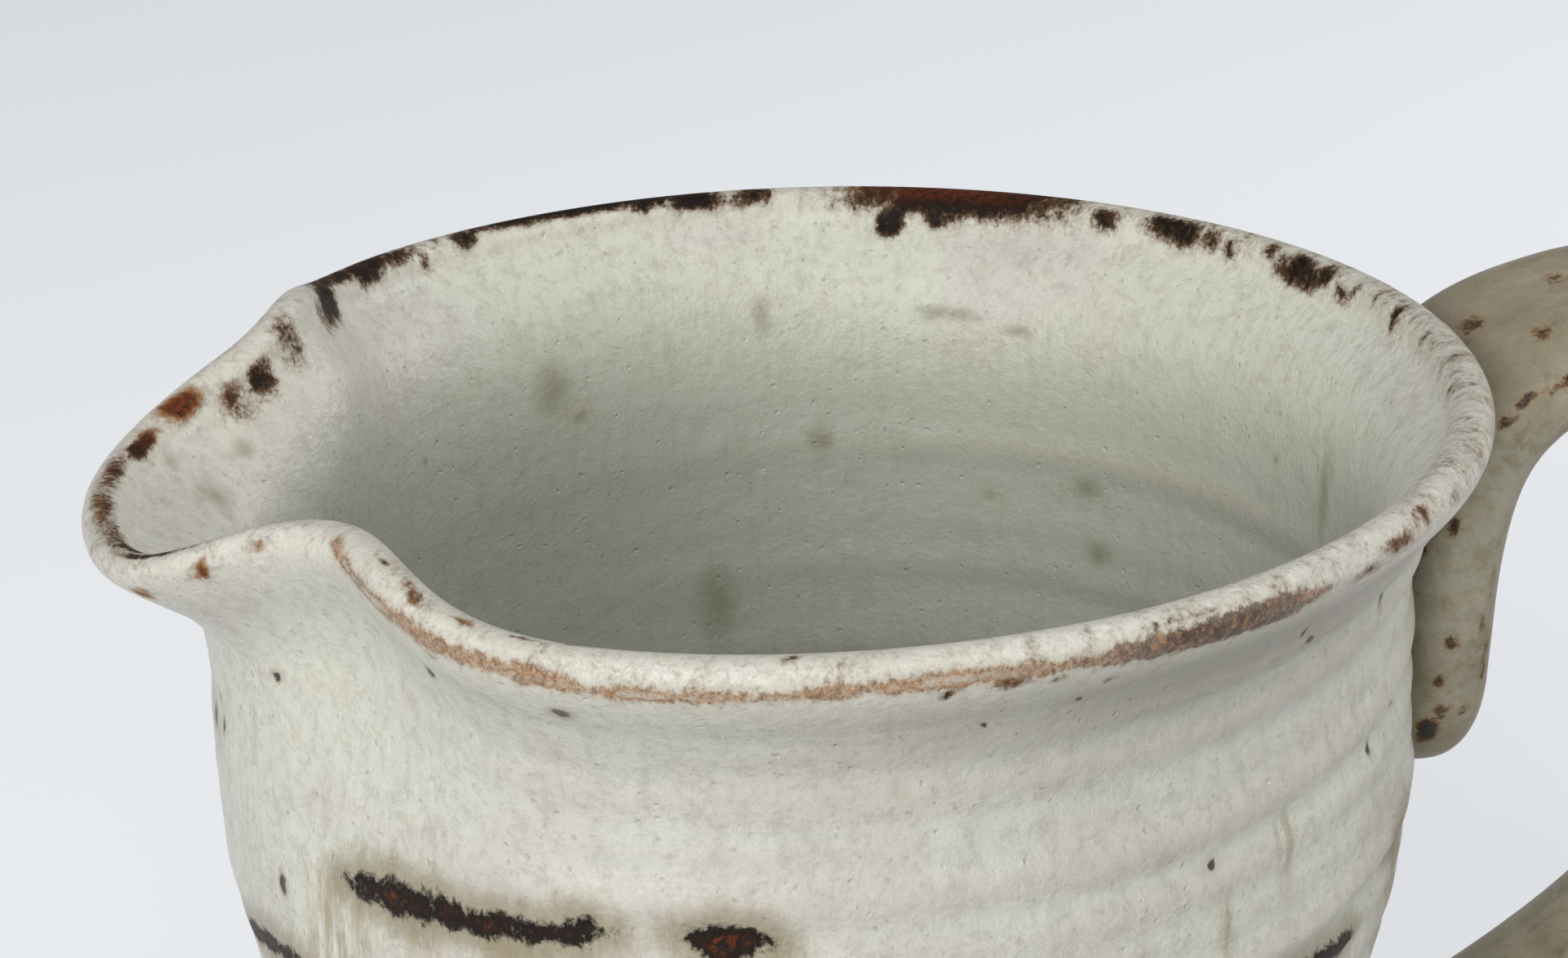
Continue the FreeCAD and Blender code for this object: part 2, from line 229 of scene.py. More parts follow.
# Spirals that the thrower's fingers leave: mm from ridge to ridge, and height in mm.
OUTER_SPIRALS = [(4.8, 0.14), (7.6, 0.12), (12.5, 0.15), (2.7, 0.03)]
INNER_SPIRALS = [(7.2, 0.13), (4.6, 0.04), (12.4, 0.13), (2.6, 0.012)]
# Mm from the crest, outside and inside, and from the foot, over which they come up.
OUTER_FADE = (4.0, 14.0)
INNER_FADE = (14.0, 34.0)
FOOT_FADE = 9.0


def outer_points():
    out = BODY_RADIUS - FOOT_RADIUS
    rise = NECK_HEIGHT - FOOT_RISE
    points = [(FOOT_RADIUS + FOOT_SHOULDER, FOOT_RISE)]
    points += [(FOOT_RADIUS + out * b, FOOT_RISE + rise * a) for a, b in WALL_SHARES]
    drop = LIP_CENTRE_HEIGHT - NECK_HEIGHT
    flare = RIM_RADIUS - BODY_RADIUS
    points += [(BODY_RADIUS + flare * b, NECK_HEIGHT + drop * a) for a, b in FLARE_SHARES]
    return points + [(RIM_RADIUS, LIP_CENTRE_HEIGHT)]


def lip_points():
    angles = [math.radians(30.0 * step) for step in range(1, 6)]
    return [(LIP_CENTRE_RADIUS + LIP_ROUND * math.cos(a),
             LIP_CENTRE_HEIGHT + LIP_ROUND * math.sin(a)) for a in angles]


def inner_points():
    """From the rim's inner side down to the flat middle of the floor."""
    outer = np.array(outer_points()[:-1])
    run = np.gradient(outer, axis=0)
    normal = np.stack([run[:, 1], -run[:, 0]], 1) / np.linalg.norm(run, axis=1)[:, None]
    down = np.clip((NECK_HEIGHT - outer[:, 1]) / (NECK_HEIGHT - FLOOR_HEIGHT), 0.0, 1.0)
    inner = outer - normal * (WALL + (HEEL - WALL) * down)[:, None]
    keep = inner[:, 1] > FLOOR_HEIGHT + FLOOR_CURVE_HEIGHT
    keep &= inner[:, 1] < LIP_CENTRE_HEIGHT - LIP_ROUND
    points = [(RIM_RADIUS - 2.0 * LIP_ROUND, LIP_CENTRE_HEIGHT)] + inner[keep][::-1].tolist()
    across = points[-1][0] - FLOOR_FLAT_RADIUS
    fall = points[-1][1] - FLOOR_HEIGHT
    for step in range(1, 5):
        angle = math.radians(22.5 * step)
        points.append((FLOOR_FLAT_RADIUS + across * math.cos(angle),
                       FLOOR_HEIGHT + fall * (1.0 - math.sin(angle))))
    return points


def corner(centre, radius, first, last, steps=5):
    angles = np.radians(np.linspace(first, last, steps))
    return [(centre[0] + radius * math.cos(a), centre[1] + radius * math.sin(a)) for a in angles]


def straight(start, end, step=1.4):
    count = max(int(math.dist(start, end) / step), 1)
    return [tuple(np.array(start) + (np.array(end) - start) * i / count) for i in range(count)]


def foot_points():
    """From the middle of the recess under the floor, round the foot ring, to the wall."""
    inner, outer, up = FOOT_INNER_RADIUS, FOOT_RADIUS, FOOT_RISE
    points = straight((1.5, up), (inner - RECESS_ROUND, up))
    points += corner((inner - RECESS_ROUND, up - RECESS_ROUND), RECESS_ROUND, 90.0, 0.0)
    points += straight((inner, up - RECESS_ROUND), (inner, FOOT_ROUND))[1:]
    points += corner((inner + FOOT_ROUND, FOOT_ROUND), FOOT_ROUND, 180.0, 270.0)
    points += straight((inner + FOOT_ROUND, 0.0), (outer - FOOT_ROUND, 0.0))[1:]
    points += corner((outer - FOOT_ROUND, FOOT_ROUND), FOOT_ROUND, 270.0, 360.0)
    points += straight((outer, FOOT_ROUND), (outer, up - FOOT_FILLET))[1:]
    points += corner((outer + FOOT_FILLET, up - FOOT_FILLET), FOOT_FILLET, 180.0, 90.0, 4)
    return points


def pulled(degrees, radius, height):
    """Points of the round vessel, moved as fingers move them when they pull the lip."""
    off_lip = (degrees + 360.0) % 360.0 - 180.0
    near = off_lip > 0.0
    depth = np.maximum(RIM_HEIGHT - height, 0.0)
    lip = bell(off_lip, LIP_HALF_ANGLE, 4)
    angle, spread, push = (np.where(near, a, b) for a, b in zip(NEAR_PINCH, FAR_PINCH))
    pinch = push * bell(np.abs(off_lip) - angle, spread) * bell(depth, PINCH_REACH)
    angle, spread, lift = (np.where(near, a, b) for a, b in zip(NEAR_SHOULDER, FAR_SHOULDER))
    rise = lift * bell(np.abs(off_lip) - angle, spread) * bell(depth, PINCH_REACH)
    reach = radius + LIP_DRAW * lip * bell(depth, DRAW_FADE) - pinch
    lifted = height - LIP_DROP * lip * bell(depth, DROP_FADE) + rise
    turn = np.radians(degrees)
    return np.stack([reach * np.cos(turn), reach * np.sin(turn), lifted], -1)


def throwing_rings(turn, path, spirals):
    """How far the clay stands out on the spirals that the thrower's fingers leave.

    They are strongest on the handle's side.
    """
    wander = 0.8 * np.sin(turn + 0.7) + 0.35 * np.sin(3.0 * turn + 2.0)
    height = np.zeros(np.broadcast(turn, path).shape)
    for order, (pitch, stand) in enumerate(spirals):
        swell = 1.0 + 0.45 * np.sin(turn * (1 + order % 2) + 1.9 * order + path / 17.0)
        height += stand * swell * np.sin(2.0 * math.pi * (path + wander) / pitch + turn + order)
    return height * (0.85 + 0.6 * np.cos(turn + 0.6))


def thrown_body():
    wall = outer_points()
    crest_chord = lengths_along(np.array(wall + lip_points()[:3]))[-1]
    chain = np.array(wall + lip_points() + inner_points())
    total = lengths_along(chain)[-1]
    places = spread_places(total, crest_chord, CREST_REACH, CREST_STEP, WALL_STEP)
    upper = smooth_line(chain, places)
    foot = np.array(foot_points())
    floor = np.array(straight((FLOOR_FLAT_RADIUS - 1.0, FLOOR_HEIGHT), (0.8, FLOOR_HEIGHT), 1.2))
    profile = np.vstack([foot, upper, floor])
    path = lengths_along(profile)
    crest = path[len(foot) + int(np.argmax(upper[:, 1]))]
    run = np.gradient(profile, axis=0)
    normal = np.stack([run[:, 1], -run[:, 0]], 1) / np.linalg.norm(run, axis=1)[:, None]

    degrees = (180.0 + 360.0 * np.arange(AROUND) / AROUND)[None, :]
    turn = np.radians(degrees)
    from_crest = (crest - path)[:, None]
    outside = from_crest > 0.0
    off_rim = np.where(outside, fade(from_crest, *OUTER_FADE), fade(-from_crest, *INNER_FADE))
    off_foot = fade(path, path[len(foot)], path[len(foot)] + FOOT_FADE)[:, None]
    rings = np.where(outside, throwing_rings(turn, from_crest, OUTER_SPIRALS),
                     throwing_rings(turn, from_crest, INNER_SPIRALS))
    rings = rings * off_rim * off_foot
    radius = profile[:, 0][:, None] + normal[:, 0][:, None] * rings
    height = profile[:, 1][:, None] + normal[:, 1][:, None] * rings
    up_share = np.clip(height / RIM_HEIGHT, 0.0, 1.0)
    uneven = FIVE_SIDED * (np.sin(5.0 * turn) - 1.0) - OUT_OF_ROUND * (1.0 + np.cos(2.0 * turn))
    radius = radius + uneven * up_share * off_foot * fade(radius, 5.0, 30.0)
    groove = RIM_GROOVE + NEAR_GROOVE * bell(degrees - NEAR_GROOVE_PLACE, NEAR_GROOVE_TURN)
    radius = radius - groove * bell(from_crest - GROOVE_BELOW_CREST, GROOVE_SPREAD)
    height = height - RIM_DIP * (1.0 + np.sin(3.0 * turn)) * up_share ** 2
    # Where shade under the rim's overhang is painted.
    neck_shade = NECK_SHADE_ALL_ROUND + bell(degrees - NECK_SHADE_PLACE, NECK_SHADE_TURN)
    fields = {
        "from_crest": np.broadcast_to(from_crest, radius.shape),
        "ridge": rings,
        "from_foot": np.broadcast_to((path - path[len(foot) - 1])[:, None], radius.shape),
        "rim_iron": rim_iron(degrees, from_crest),
        "rim_rust": patches(degrees, from_crest, RUST_PATCHES),
        "rim_line": rim_line(degrees, from_crest),
        "line_brown": patches(degrees, from_crest, LINE_BROWN),
        "line_hollow": patches(degrees, from_crest, LINE_HOLLOW),
        "brush": np.where(outside, brush_distance(degrees, height), -BRUSH_REACH),
        "runs": glaze_runs(degrees, height) * outside,
        "painted_neck_shade": neck_shade * bell(from_crest - NECK_SHADE_BELOW_CREST, NECK_SHADE_SPREAD),
        "lip_zone": np.broadcast_to(bell(degrees - 180.0, LIP_ZONE_TURN, 6), radius.shape),
        "painted_crest_glints": patches(degrees, from_crest, CREST_GLINTS),
    }
    piece = tube_mesh("thrown_body_glazed", pulled(degrees, radius, height), fields)
    piece.data.flip_normals()
    return piece


# ---------------------------------------------------------------- iron on the body

# Iron that shows through the glaze on the rim.  Each patch: degrees round the jug (90 is the
# far side, 180 the lip, 270 the near side), half its width, mm outside (+) or inside (-) of
# the rim's crest, half its depth, and strength.
RIM_PATCHES = [
    (60.7, 13.3, -1, 3.1, 1.35), (68.4, 1.9, -4.3, 2, 1.2), (63.6, 1.7, -3.4, 1.8, 1.1),
    (45, 2, -2, 1.7, 0.95), (36.9, 4.1, -2, 1.9, 1.05), (32.2, 1.5, -1.9, 1.8, 0.9),
    (29.6, 0.9, -2.5, 1.6, 0.85), (24.3, 1.3, -1.3, 1.3, 0.8), (19.8, 3.9, -2.5, 2.1, 1.1),
    (16, 1.3, -1.7, 1.6, 0.9), (12.6, 1.7, -3, 1.3, 0.85), (10.6, 0.9, -1.6, 1.6, 0.75),
    (7.2, 1, -1.4, 1.6, 0.8), (2.7, 1, -2.2, 2, 0.95), (355.5, 0.9, -2.2, 1.8, 0.66),
    (101.5, 16, 0, 1.6, 1.15), (114.2, 1.9, -1.2, 1.6, 1), (88.8, 3.6, -0.9, 1.8, 1.1),
    (94.6, 2.1, -0.9, 1.5, 1), (82.8, 2.6, -0.9, 1.9, 0.95), (106.5, 2, -0.7, 1.5, 0.9),
    (129, 11, -0.4, 1.6, 1), (136.6, 2.8, -2.8, 2.9, 1.15), (127, 2.2, -1.6, 1.7, 1),
    (122.4, 1.7, -1.2, 1.6, 0.9), (119.6, 0.9, -2.4, 1.6, 0.8), (139.6, 1.8, -4.4, 2.4, 0.72),
    (148.8, 2.2, -3.2, 3.2, 0.72), (154, 1.9, -3.9, 1.9, 1), (157.2, 1.3, -3.6, 1.4, 0.9),
    (156.4, 3.2, -5.2, 2.1, 0.6), (161.2, 2.2, -1.1, 1.8, 1.1), (167, 2.6, -1.2, 1, 1.15),
    (172, 5.2, -0.4, 1.25, 0.78), (178.5, 6.6, -0.2, 1.4, 0.74), (185.5, 6.6, -0.3, 1.3, 0.74),
    (190.6, 3.2, -0.6, 0.7, 0.98), (195, 5.6, 0.6, 0.6, 1), (201.6, 1, 3.8, 1.3, 0.95),
    (207, 1.1, 2.5, 0.8, 0.72), (194.4, 1.7, 5.1, 1.1, 0.8), (222.3, 1.1, 0.4, 0.4, 0.8),
    (227.2, 1.4, 0.8, 1, 0.92), (226, 0.9, 0.2, 0.7, 0.8), (232.2, 1.1, 0.4, 0.5, 0.85),
    (237.6, 2, 0, 0.45, 0.75), (241.6, 2.1, -0.7, 0.45, 0.72), (257.4, 0.9, 0.3, 0.65, 0.85),
    (272.7, 1.8, 4.2, 0.75, 0.85), (286.5, 5.4, 1.5, 0.26, 0.72), (268.2, 0.7, 4.6, 0.7, 1.15),
    (276.3, 0.9, 4.6, 0.6, 0.9), (280.8, 0.8, 6.4, 0.6, 0.9), (313.2, 1.1, 2, 1.5, 0.85),
    (308.4, 3, 2.6, 0.9, 0.8), (304.9, 2.4, 3.5, 0.8, 0.72), (318.6, 1.5, 2.5, 1, 0.62),
    (318.6, 1.3, 5.9, 1, 0.7), (330, 9, 0.2, 2.4, 0.42), (345, 8, -1.4, 2, 0.45),
    (18, 40, 4.2, 1.1, 0.66), (80, 34, 4.4, 1.4, 0.84), (138, 24, 4, 1.1, 0.78),
]
# Where the iron is thin enough to fire rust-red or orange, in the same measures.
RUST_PATCHES = [
    (63, 10, -0.2, 1.7, 0.6), (161.5, 5, -1, 3, 0.9), (204, 7, 3.2, 2.6, 0.9),
    (178, 9, 0.3, 0.8, 0.4), (272, 5, 4.4, 2, 0.35), (313, 9, 2.2, 2.5, 0.35),
    (30, 60, 4.2, 3, 0.6), (138, 26, 4, 3, 0.7), (194.4, 4, 5, 2, 0.9), (227, 3, 0.6, 1.6, 0.45),
    (232, 2, 0.4, 1, 0.6),
]
# The ochre line under the near rim: degrees round the jug, mm along the wall below the crest,
# half its thickness in mm; the line ends where that is less than nothing.
RIM_LINE = [
    (214.2, 1.6, -0.8), (216, 2, 0.9), (218, 2.9, 0.8), (220.3, 3.6, 0.3), (222.3, 3.9, 1),
    (224.5, 3.5, 0.7), (228.6, 3.4, 0.8), (233, 3.1, 0.7), (237.6, 3, 0.9), (241, 3.3, 0.8),
    (243, 3.6, 0.4), (246.5, 3.7, 0.6), (252, 3.7, 0.7), (255, 3.6, 0.45), (258, 3.5, 0.7),
    (262.5, 3.2, 0.5), (266, 3.3, 0.9), (270, 3.1, 0.7), (274, 3.3, 0.8), (277.2, 3.4, 0.4),
    (279.5, 3.5, 0.7), (283, 3.4, 1), (288, 3.5, 1.2), (294, 3.4, 1.3), (297.5, 3.4, 1.1),
    (299.5, 3.3, 0.5), (302, 3.2, -0.4), (307, 3.2, -0.8),
]
# The part of it that is browner than ochre, the parts with pale glaze inside its outline, and the
# painted white glints on the crest, in the measures of RIM_PATCHES.
LINE_BROWN = [(289.5, 11.5, 3.8, 4.0, 1.0)]
LINE_HOLLOW = [
    (220.5, 4, 3.6, 4, 1), (247, 5, 3.2, 2, 0.8), (268, 5, 3, 1, 0.7),
]
CREST_GLINTS = [
    (251, 12, 1.8, 0.8, 1), (228, 8, 1.8, 0.8, 0.6), (276, 9, 1, 0.9, 0.8),
    (300, 8, 0.4, 0.9, 0.6), (162, 3, -3, 1, 0.7), (207, 6, 1.4, 0.9, 0.7),
]
# Iron all along the crest, and how much more of it there is on the handle's side.
CREST_IRON = 0.2
HANDLE_CREST_IRON = 0.17
# What stands for the line's half thickness where there is no line.
NO_LINE = -1.5


def rim_iron(degrees, from_crest):
    towards_handle = bell((degrees - 5.0 + 180.0) % 360.0 - 180.0, 62.0, 4)
    crest = (CREST_IRON + HANDLE_CREST_IRON * towards_handle) * bell(from_crest - 0.8, 4.4, 4)
    return np.maximum(patches(degrees, from_crest, RIM_PATCHES), crest)


def rim_line(degrees, from_crest):
    """How many mm a point lies inside the line, and less than nothing outside it."""
    turns, places, halves = zip(*RIM_LINE)
    turn = (degrees + 360.0) % 360.0
    half = np.interp(turn, turns, halves, left=NO_LINE, right=NO_LINE)
    return half - np.abs(from_crest - np.interp(turn, turns, places))


# Brushed iron band round the body.  Each stroke: points of (degrees, mm below the rim's
# crest, half thickness in mm).
STROKES = [
    [(211, 30.3, 0.1), (214, 30.2, 0.9), (217.5, 30, 1.3), (224, 29.3, 1.2),
     (228, 29, 1), (232, 28.4, 1), (237, 28, 0.7), (239, 27.1, 1.2),
     (241.5, 27.3, 0.3)],
    [(247.5, 26.6, 0.3), (250.5, 27.2, 1.7), (253, 27, 1.2), (255.5, 27.4, 0.2)],
    [(184, 45.2, 0.4), (190, 43.4, 0.9), (197, 41.6, 1.1), (202.5, 40.6, 0.8),
     (204.5, 40.4, 0.2)],
    [(262, 40.5, 0.4), (270, 41.5, 1), (279, 41, 0.9), (288, 40, 0.5)],
    [(300, 43, 0.5), (307, 42.4, 1.2), (315, 42.8, 0.8)],
    [(326, 38, 0.7), (330, 38.5, 1.5), (333, 39, 0.8)],
    [(20, 29, 0.6), (29, 28.2, 1.4), (39, 28.6, 1.2), (47, 27.6, 0.8)],
    [(58, 33.5, 0.8), (63, 34.5, 2.1), (67, 35, 1.1)],
    [(80, 28.4, 0.7), (90, 27.6, 1.4), (101, 28.2, 1.1), (108, 27.4, 1.3)],
    [(118, 35, 0.6), (126, 35.8, 1.3), (135, 35, 0.9)],
    [(148, 28.8, 0.7), (153, 28, 1.9), (158, 28.6, 1.2), (165, 27.8, 0.7)],
]
# Tan runs below the strokes: degrees, half width, mm below the crest where they start, and
# how far they run.
RUNS = [
    (210.5, 5, 30.5, 17), (222, 2, 30, 7), (234, 5, 29.5, 6), (252, 4, 27.5, 13),
    (196, 6, 42, 12), (271, 5, 41.5, 11), (308, 5, 43, 14), (330, 3.5, 39, 15), (303, 1.2, 26, 9),
    (296, 0.9, 31, 8), (33, 6, 28.5, 13), (63, 4, 34.5, 14), (92, 7, 28, 12), (128, 5, 35.5, 10),
    (154, 5, 28.5, 15),
]
# Further than this from a stroke, in mm, nothing of it shows.
BRUSH_REACH = 9.0


def brush_distance(degrees, height):
    """How many mm a point lies inside a brush stroke, and less than nothing outside them."""
    best = np.full(height.shape, -BRUSH_REACH)
    mm_per_degree = BODY_RADIUS * math.pi / 180.0
    for stroke in STROKES:
        for start, end in zip(stroke, stroke[1:]):
            off_turn = (degrees - start[0] + 180.0) % 360.0 - 180.0
            along = off_turn * mm_per_degree
            up = height - (RIM_HEIGHT - start[1])
            run = (end[0] - start[0]) * mm_per_degree
            rise = start[1] - end[1]
            share = np.clip((along * run + up * rise) / (run * run + rise * rise), 0.0, 1.0)
            away = np.hypot(along - share * run, up - share * rise)
            best = np.maximum(best, start[2] + (end[2] - start[2]) * share - away)
    return best


def glaze_runs(degrees, height):
    total = np.zeros(height.shape)
    for middle, half_width, start, reach in RUNS:
        off_turn = (degrees - middle + 180.0) % 360.0 - 180.0
        below = RIM_HEIGHT - start - height
        down = fade(below, -1.5, 1.0) * (1.0 - fade(below, 0.35 * reach, reach))
        total = np.maximum(total, bell(off_turn, half_width, 4) * down)
    return total


# ---------------------------------------------------------------- handle

# The poles of the strap's middle line, within a millimetre of the CAD's.  On the tail: mm out
# from the wall and up from its lowest pole, which is TAIL_DROP below the rim.  Then one beside
# the rim, and round the loop: share of the handle's reach, and of its height above the lower
# joint.
TAIL_POLES = [(3.8, 0.0), (4.0, 9.0), (2.9, 25.0)]
TAIL_DROP = 45.0
RIM_POLE_OUT = 2.0
RIM_POLE_DROP = 5.0
EAR_SHARES = [(0.52, 1.0), (0.94, 0.973), (1.085, 0.70), (0.99, 0.40), (0.57, 0.20), (0.11, 0.042)]
HANDLE_REACH = 41.0
CROWN_DROP = 1.0
ROOT_HEIGHT = 17.0
ROOT_RADIUS = 43.0
ROOT_STRAIGHT = 9.0
# Half the strap's width and half its thickness: share of its line, and mm.
STRAP_WIDTHS = [(0.0, 14.3), (0.22, 14.3), (0.36, 12.6), (0.50, 11.5), (1.0, 11.5)]
STRAP_DEPTHS = [(0.0, 5.8), (0.20, 5.9), (0.30, 5.9), (0.38, 5.1), (0.50, 4.4), (1.0, 4.4)]
# How far from its end the tail reaches its whole width, and its whole thickness.
TAIL_ROUND = 19.0
TAIL_TAPER = 12.0
# Powers of the section's oval: its edges, its outer face, and the face that is inner on the
# tail and upper at the crown.
SIDE_SQUARENESS = 2.4
OUTER_SQUARENESS = 2.4
UPPER_SQUARENESS = 3.0
# The hollow that the potter's thumb leaves along the face that is inner on the tail: mm.
THUMB_GROOVE = 0.8
# Points round the strap and rows along it, which lie closer together on the tail.
STRAP_AROUND = 96
STRAP_ROWS = 300
ROW_CROWDING = 1.15


def strap_line(shares):
    """Points and directions of the strap's middle: a clamped cubic through its poles."""
    tail = RIM_HEIGHT - TAIL_DROP
    ear = RIM_HEIGHT - CROWN_DROP - ROOT_HEIGHT
    poles = [(BODY_RADIUS + out, tail + rise) for out, rise in TAIL_POLES]
    poles.append((RIM_RADIUS + RIM_POLE_OUT, RIM_HEIGHT - RIM_POLE_DROP))
    poles += [(RIM_RADIUS + HANDLE_REACH * a, ROOT_HEIGHT + ear * b) for a, b in EAR_SHARES]
    poles += [(ROOT_RADIUS + ROOT_STRAIGHT, ROOT_HEIGHT), (ROOT_RADIUS, ROOT_HEIGHT)]
    poles = np.array(poles)
    inner = np.arange(len(poles) - 2) / (len(poles) - 3)
    knots = np.concatenate([[0.0] * 3, inner, [1.0] * 3])
    points = np.zeros((len(shares), 2))
    for index, share in enumerate(shares):
        span = min(max(np.searchsorted(knots, share, side="right") - 1, 3), len(poles) - 1)
        near = [poles[span - 3 + i].copy() for i in range(4)]
        for level in range(1, 4):
            for i in range(3, level - 1, -1):
                low = knots[span - 3 + i]
                high = knots[span + 1 + i - level]
                part = (share - low) / (high - low)
                near[i] = (1.0 - part) * near[i - 1] + part * near[i]
        points[index] = near[3]
    run = np.gradient(points, axis=0)
    return points, run / np.linalg.norm(run, axis=1)[:, None]


def flattened(value, squareness):
    """A sine or cosine, pushed outwards so that an oval becomes a soft-cornered strap."""
    return np.sign(value) * np.abs(value) ** (2.0 / squareness)


def pulled_handle():
    shares = np.linspace(0.0, 1.0, STRAP_ROWS) ** ROW_CROWDING
    middle, run = strap_line(shares)
    along = lengths_along(middle)
    from_tail = along[:, None]
    width = np.interp(shares, *zip(*STRAP_WIDTHS))[:, None]
    depth = np.interp(shares, *zip(*STRAP_DEPTHS))[:, None]
    tip = np.clip((from_tail + 0.4) / TAIL_ROUND, 0.0, 1.0)
    width = width * np.sqrt(1.0 - (1.0 - tip) ** 2)
    tip = np.clip((from_tail + 0.8) / TAIL_TAPER, 0.0, 1.0)
    depth = depth * np.sqrt(1.0 - (1.0 - tip) ** 2)
    angle = (2.0 * math.pi * np.arange(STRAP_AROUND) / STRAP_AROUND)[None, :]
    sideways = flattened(np.sin(angle), SIDE_SQUARENESS)
    outwards = np.where(np.cos(angle) > 0.0, flattened(np.cos(angle), OUTER_SQUARENESS),
                        flattened(np.cos(angle), UPPER_SQUARENESS))
    groove = THUMB_GROOVE * bell(sideways, 0.55) * (outwards < 0.0)
    groove = groove * fade(from_tail, 36.0, 50.0)
    uneven = 0.14 * np.sin(from_tail / 7.3 + 2.0 * angle) + 0.10 * np.sin(from_tail / 3.9 - angle)
    uneven = (uneven - 0.24) * fade(from_tail, 2.0, 14.0)
    half_width = width + uneven
    half_depth = depth + uneven - groove
    through = np.stack([-run[:, 1], run[:, 0]], 1)
    lift = half_depth * outwards
    points = np.stack([middle[:, 0][:, None] - through[:, 0][:, None] * lift,
                       half_width * sideways,
                       middle[:, 1][:, None] - through[:, 1][:, None] * lift], -1)
    around = np.degrees(angle)
    fields = {
        "corner_wear": corner_wear(around, from_tail),
        "strap_iron": patches(around, from_tail, STRAP_BLOTS),
        "strap_painted_shade": patches(around, from_tail, STRAP_PAINTED_SHADE),
    }
    return tube_mesh("pulled_handle_glazed", points, fields)


# Iron blots on the strap: degrees round its section (0 is its outer face, 90 the far edge,
# 180 its inner or upper face, 270 the near edge), half width in degrees, mm from its rounded
# end, half length in mm, strength.
STRAP_BLOTS = [
    (254, 12, 6.6, 2, 1.05), (262, 9, 9.2, 1.2, 0.9), (276, 6, 9.4, 1.3, 0.8),
    (257, 7, 13, 1, 0.9), (262, 6, 17, 1.1, 1), (294, 8, 14.2, 3, 0.8), (285, 5, 18.5, 2, 0.68),
    (290, 5, 23.5, 1.2, 0.66), (252, 6, 28.4, 1.2, 0.85), (230, 6, 26, 1.8, 0.8),
    (249, 5, 39.8, 1.1, 1.15), (251, 7, 38, 1.2, 0.85), (256, 6, 43.2, 1.6, 0.85),
    (181, 7, 41.2, 1.2, 0.75), (213, 8, 44.4, 1, 0.8), (176, 6, 49.1, 1.1, 0.8),
    (150, 9, 58, 1.8, 0.8), (215, 9, 63, 2.2, 0.8), (60, 12, 70, 2.4, 0.8), (300, 9, 74, 2, 0.85),
    (20, 12, 88, 2.6, 0.75), (340, 10, 101, 2, 0.9), (120, 14, 96, 2.6, 0.7),
    (265, 9, 112, 2.4, 0.85), (45, 10, 124, 2.6, 0.8), (200, 16, 131, 2.8, 0.7),
    (310, 9, 141, 2.2, 0.85), (80, 9, 152, 2.6, 0.8), (280, 9, 160, 2.6, 0.8),
    (350, 12, 172, 3.4, 0.8), (95, 9, 18, 2.2, 0.85), (70, 8, 8, 2.4, 0.9),
    (20, 14, 25, 2.4, 0.7),
]
# Where shade is painted on the strap, in the same measures: beside the rim and under the crown.
STRAP_PAINTED_SHADE = [
    (205, 60, 41, 8, 0.9), (255, 40, 3, 5, 0.6), (20, 60, 60, 12, 0.6), (230, 50, 120, 16, 0.5),
]
# Along two of its corners the glaze is thin and breaks brown: degrees round the section, and
# the spread of that.
FAR_CORNER = (151.0, 10.0)
NEAR_CORNER = (307.0, 7.0)


def corner_wear(around, from_tail):
    """Near 1 along the middle of each worn corner, and 0 on the tail."""
    place, spread = FAR_CORNER
    far = bell(around - place, spread) * (0.75 + 0.25 * np.sin(from_tail / 9.0))
    place, spread = NEAR_CORNER
    near = 0.95 * bell(around - place, spread) * (0.7 + 0.3 * np.sin(from_tail / 7.0 + 1.0))
    return np.maximum(far, near) * fade(from_tail, 29.0, 40.0)


# ---------------------------------------------------------------- materials

